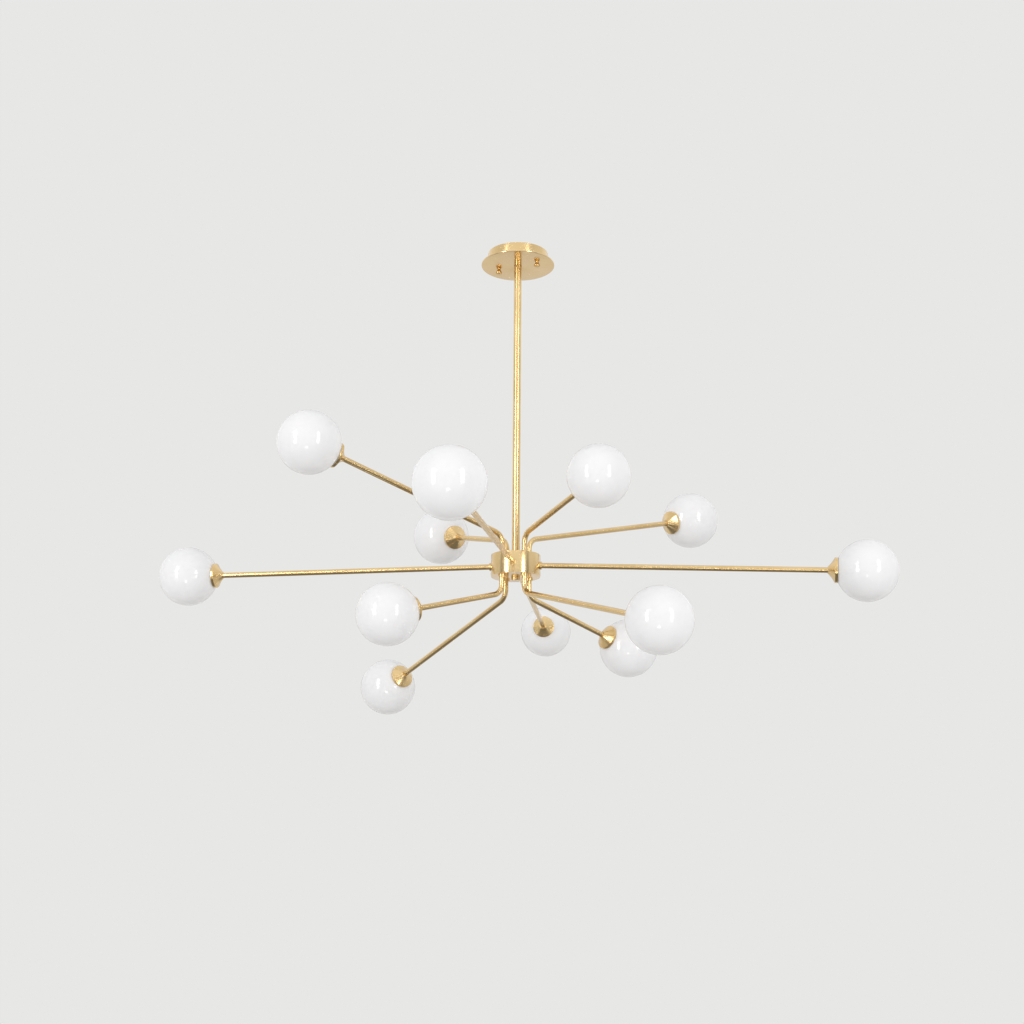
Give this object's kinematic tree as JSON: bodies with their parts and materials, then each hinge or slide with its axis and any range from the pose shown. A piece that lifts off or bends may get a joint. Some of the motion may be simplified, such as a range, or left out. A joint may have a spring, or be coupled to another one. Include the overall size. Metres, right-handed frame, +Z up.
{
  "type": "multi arm chandelier",
  "caption": "Brass ceiling chandelier: straight and bent tube arms leave a round hub on a rigid stem, each with a flared cup and an opal glass globe.",
  "frame": {"origin": "centre of the canopy on the ceiling plane, between the two outlet box screws", "axes": "+Z up into the ceiling, +X along the right-hand level arm"},
  "size_m": [1.4883, 1.4872, 0.923],
  "materials": {
    "satin_brass": "satin brushed and lacquered",
    "raw_brass": "machined",
    "zinc_steel": "zinc plated",
    "white_ceramic": "glazed ceramic",
    "lamp_glass": "frosted",
    "clear_rubber": "soft translucent",
    "opal_glass": "glossy opal white"
  },
  "bodies": {
    "ceiling_mount": {"box_bar": "zinc_steel", "stud_bar": "zinc_steel", "canopy_studs": "zinc_steel", "top_rod": "zinc_steel", "top_rod_nut": "zinc_steel", "canopy_terminal_block": "white_ceramic"},
    "canopy": {"canopy_drum": "satin_brass", "canopy_plate": "satin_brass"},
    "knob_right": {"canopy_knob_right": "satin_brass"},
    "knob_left": {"canopy_knob_left": "satin_brass"},
    "fixture": {"stem_tube": "satin_brass", "stem_top_insert": "raw_brass", "stem_bottom_insert": "raw_brass", "hub_rod": "zinc_steel", "hub_rod_nut": "zinc_steel", "hub_body": "satin_brass", "hub_bottom_plate": "satin_brass", "hub_cap_nut": "satin_brass", "hub_terminal_block": "white_ceramic", "side_arm_collars": "satin_brass", "upper_arm_collars": "satin_brass", "lower_arm_collars": "satin_brass", "side_arm_nuts": "zinc_steel", "upper_arm_nuts": "zinc_steel", "lower_arm_nuts": "zinc_steel", "side_cups": "satin_brass", "upper_cups": "satin_brass", "lower_cups": "satin_brass", "cup_nipples": "raw_brass", "lampholders": "white_ceramic", "bulbs": "lamp_glass", "globe_gaskets": "clear_rubber", "arm_side_right": "satin_brass", "arm_side_back": "satin_brass", "arm_side_left": "satin_brass", "arm_side_front": "satin_brass", "arm_upper_right_back": "satin_brass", "arm_upper_left_back": "satin_brass", "arm_upper_left_front": "satin_brass", "arm_upper_right_front": "satin_brass", "arm_lower_right_back": "satin_brass", "arm_lower_left_back": "satin_brass", "arm_lower_left_front": "satin_brass", "arm_lower_right_front": "satin_brass"},
    "globe_side_right": {"globe_side_right": "opal_glass"},
    "globe_side_back": {"globe_side_back": "opal_glass"},
    "globe_side_left": {"globe_side_left": "opal_glass"},
    "globe_side_front": {"globe_side_front": "opal_glass"},
    "globe_upper_right_back": {"globe_upper_right_back": "opal_glass"},
    "globe_upper_left_back": {"globe_upper_left_back": "opal_glass"},
    "globe_upper_left_front": {"globe_upper_left_front": "opal_glass"},
    "globe_upper_right_front": {"globe_upper_right_front": "opal_glass"},
    "globe_lower_right_back": {"globe_lower_right_back": "opal_glass"},
    "globe_lower_left_back": {"globe_lower_left_back": "opal_glass"},
    "globe_lower_left_front": {"globe_lower_left_front": "opal_glass"},
    "globe_lower_right_front": {"globe_lower_right_front": "opal_glass"}
  },
  "joints": [
    {"name": "canopy_drop", "type": "slide", "parent": "ceiling_mount", "child": "canopy", "axis": [0, 0, -1], "range_m": [0, 0.45]},
    {"name": "knob_right_turn", "type": "hinge", "parent": "canopy", "child": "knob_right", "pos_m": [0.04273, -0.01225, -0.026], "axis": [0, 0, 1], "continuous": true},
    {"name": "knob_left_turn", "type": "hinge", "parent": "canopy", "child": "knob_left", "pos_m": [-0.04273, 0.01225, -0.026], "axis": [0, 0, 1], "continuous": true},
    {"name": "stem_turn", "type": "hinge", "parent": "ceiling_mount", "child": "fixture", "pos_m": [0, 0, -0.016], "axis": [0, 0, 1], "range_deg": [-170, 170]},
    {"name": "globe_side_right_off", "type": "slide", "parent": "fixture", "child": "globe_side_right", "axis": [0.999, 0.0052, -0.0454], "range_m": [0, 0.08]},
    {"name": "globe_side_back_off", "type": "slide", "parent": "fixture", "child": "globe_side_back", "axis": [-0.0628, 0.9979, -0.014], "range_m": [0, 0.08]},
    {"name": "globe_side_left_off", "type": "slide", "parent": "fixture", "child": "globe_side_left", "axis": [-0.9999, -0.0105, -0.0035], "range_m": [0, 0.08]},
    {"name": "globe_side_front_off", "type": "slide", "parent": "fixture", "child": "globe_side_front", "axis": [0.0192, -0.9994, -0.0297], "range_m": [0, 0.08]},
    {"name": "globe_upper_right_back_off", "type": "slide", "parent": "fixture", "child": "globe_upper_right_back", "axis": [0.674, 0.698, 0.2419], "range_m": [0, 0.08]},
    {"name": "globe_upper_left_back_off", "type": "slide", "parent": "fixture", "child": "globe_upper_left_back", "axis": [-0.6677, 0.7085, 0.2284], "range_m": [0, 0.08]},
    {"name": "globe_upper_left_front_off", "type": "slide", "parent": "fixture", "child": "globe_upper_left_front", "axis": [-0.6709, -0.7021, 0.2385], "range_m": [0, 0.08]},
    {"name": "globe_upper_right_front_off", "type": "slide", "parent": "fixture", "child": "globe_upper_right_front", "axis": [0.6408, -0.7371, 0.2147], "range_m": [0, 0.08]},
    {"name": "globe_lower_right_back_off", "type": "slide", "parent": "fixture", "child": "globe_lower_right_back", "axis": [0.6736, 0.6831, -0.2823], "range_m": [0, 0.08]},
    {"name": "globe_lower_left_back_off", "type": "slide", "parent": "fixture", "child": "globe_lower_left_back", "axis": [-0.6936, 0.6605, -0.2874], "range_m": [0, 0.08]},
    {"name": "globe_lower_left_front_off", "type": "slide", "parent": "fixture", "child": "globe_lower_left_front", "axis": [-0.6849, -0.6778, -0.2672], "range_m": [0, 0.08]},
    {"name": "globe_lower_right_front_off", "type": "slide", "parent": "fixture", "child": "globe_lower_right_front", "axis": [0.6354, -0.7232, -0.2706], "range_m": [0, 0.08]}
  ]
}
